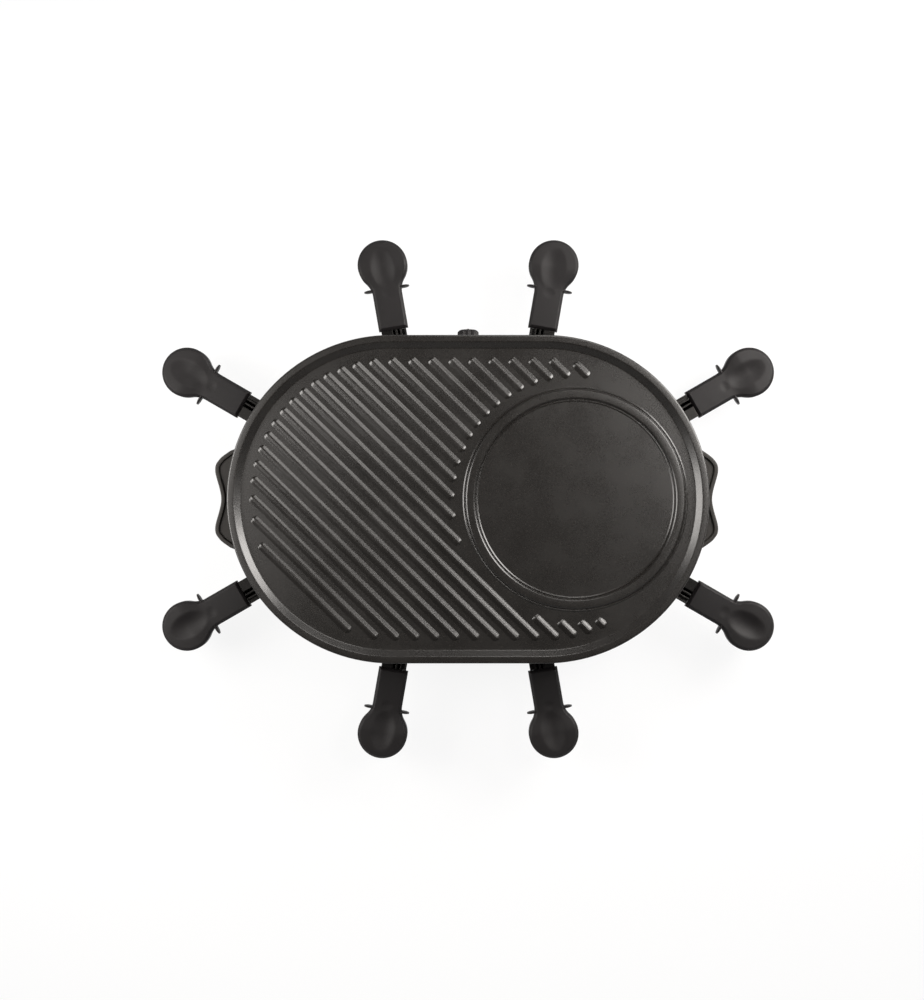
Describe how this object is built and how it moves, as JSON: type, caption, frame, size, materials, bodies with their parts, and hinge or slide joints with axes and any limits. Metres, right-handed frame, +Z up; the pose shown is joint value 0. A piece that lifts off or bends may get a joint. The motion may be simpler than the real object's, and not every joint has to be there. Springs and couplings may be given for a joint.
{
  "type": "raclette grill",
  "caption": "Oval electric table grill: ribbed plate with a crepe ring over a ring frame and element, above a base that holds wedge-shaped raclette pans with black handles.",
  "frame": {"origin": "on the table under the middle of the grill", "axes": "+Z up, +X along the oval towards the crepe ring, +Y towards the thermostat knob"},
  "size_m": [0.574, 0.4866, 0.117],
  "materials": {
    "plate_coating": "dark non-stick coating with a fine sparkle, satin",
    "pan_coating": "dark non-stick coating, satin",
    "handle_plastic": "fine moulded texture, matte",
    "housing_plastic": "satin black",
    "bracket_steel": "darkened steel",
    "bright_steel": "brushed",
    "element_steel": "heat-darkened tube",
    "rubber": "matte",
    "lamp_lens": "clear red",
    "ceramic": "unglazed",
    "wire_cover": "woven glass sleeve"
  },
  "bodies": {
    "base": {"base_shell": "housing_plastic", "pan_deck": "pan_coating", "upper_frame": "housing_plastic", "heat_shield": "bright_steel", "heating_element": "element_steel", "end_post_left": "housing_plastic", "end_post_right": "housing_plastic", "post_bolt_left": "bright_steel", "post_bolt_right": "bright_steel", "side_grip_left": "handle_plastic", "side_grip_right": "handle_plastic", "thermostat_body": "ceramic", "pilot_lamp": "lamp_lens", "cable_gland": "handle_plastic", "terminal_block": "ceramic", "supply_wire": "wire_cover", "switched_wire": "wire_cover", "element_clip_1": "bright_steel", "element_clip_2": "bright_steel", "element_clip_3": "bright_steel", "element_clip_4": "bright_steel", "rubber_foot_1": "rubber", "rubber_foot_2": "rubber", "rubber_foot_3": "rubber", "rubber_foot_4": "rubber"},
    "plate": {"grill_plate": "plate_coating"},
    "knob": {"thermostat_knob": "handle_plastic", "thermostat_shaft": "bright_steel"},
    "pan_1_unit": {"pan_1": "pan_coating", "pan_bracket_1": "bracket_steel", "pan_handle_1": "handle_plastic", "pan_handle_screw_1": "bright_steel"},
    "pan_2_unit": {"pan_2": "pan_coating", "pan_bracket_2": "bracket_steel", "pan_handle_2": "handle_plastic", "pan_handle_screw_2": "bright_steel"},
    "pan_3_unit": {"pan_3": "pan_coating", "pan_bracket_3": "bracket_steel", "pan_handle_3": "handle_plastic", "pan_handle_screw_3": "bright_steel"},
    "pan_4_unit": {"pan_4": "pan_coating", "pan_bracket_4": "bracket_steel", "pan_handle_4": "handle_plastic", "pan_handle_screw_4": "bright_steel"},
    "pan_5_unit": {"pan_5": "pan_coating", "pan_bracket_5": "bracket_steel", "pan_handle_5": "handle_plastic", "pan_handle_screw_5": "bright_steel"},
    "pan_6_unit": {"pan_6": "pan_coating", "pan_bracket_6": "bracket_steel", "pan_handle_6": "handle_plastic", "pan_handle_screw_6": "bright_steel"},
    "pan_7_unit": {"pan_7": "pan_coating", "pan_bracket_7": "bracket_steel", "pan_handle_7": "handle_plastic", "pan_handle_screw_7": "bright_steel"},
    "pan_8_unit": {"pan_8": "pan_coating", "pan_bracket_8": "bracket_steel", "pan_handle_8": "handle_plastic", "pan_handle_screw_8": "bright_steel"}
  },
  "joints": [
    {"name": "plate_lift", "type": "slide", "parent": "base", "child": "plate", "axis": [0, 0, 1], "range_m": [0, 0.12]},
    {"name": "knob_turn", "type": "hinge", "parent": "base", "child": "knob", "pos_m": [0, 0.1406, 0.095], "axis": [0, -1, 0], "range_deg": [0, 270]},
    {"name": "pan_1_slide", "type": "slide", "parent": "base", "child": "pan_1_unit", "axis": [0.866, 0.5, 0], "range_m": [0, 0.12]},
    {"name": "pan_2_slide", "type": "slide", "parent": "base", "child": "pan_2_unit", "axis": [0.1702, 0.9854, 0], "range_m": [0, 0.12]},
    {"name": "pan_3_slide", "type": "slide", "parent": "base", "child": "pan_3_unit", "axis": [-0.1702, 0.9854, 0], "range_m": [0, 0.12]},
    {"name": "pan_4_slide", "type": "slide", "parent": "base", "child": "pan_4_unit", "axis": [-0.866, 0.5, 0], "range_m": [0, 0.12]},
    {"name": "pan_5_slide", "type": "slide", "parent": "base", "child": "pan_5_unit", "axis": [-0.866, -0.5, 0], "range_m": [0, 0.12]},
    {"name": "pan_6_slide", "type": "slide", "parent": "base", "child": "pan_6_unit", "axis": [-0.1702, -0.9854, 0], "range_m": [0, 0.12]},
    {"name": "pan_7_slide", "type": "slide", "parent": "base", "child": "pan_7_unit", "axis": [0.1702, -0.9854, 0], "range_m": [0, 0.12]},
    {"name": "pan_8_slide", "type": "slide", "parent": "base", "child": "pan_8_unit", "axis": [0.866, -0.5, 0], "range_m": [0, 0.12]}
  ]
}
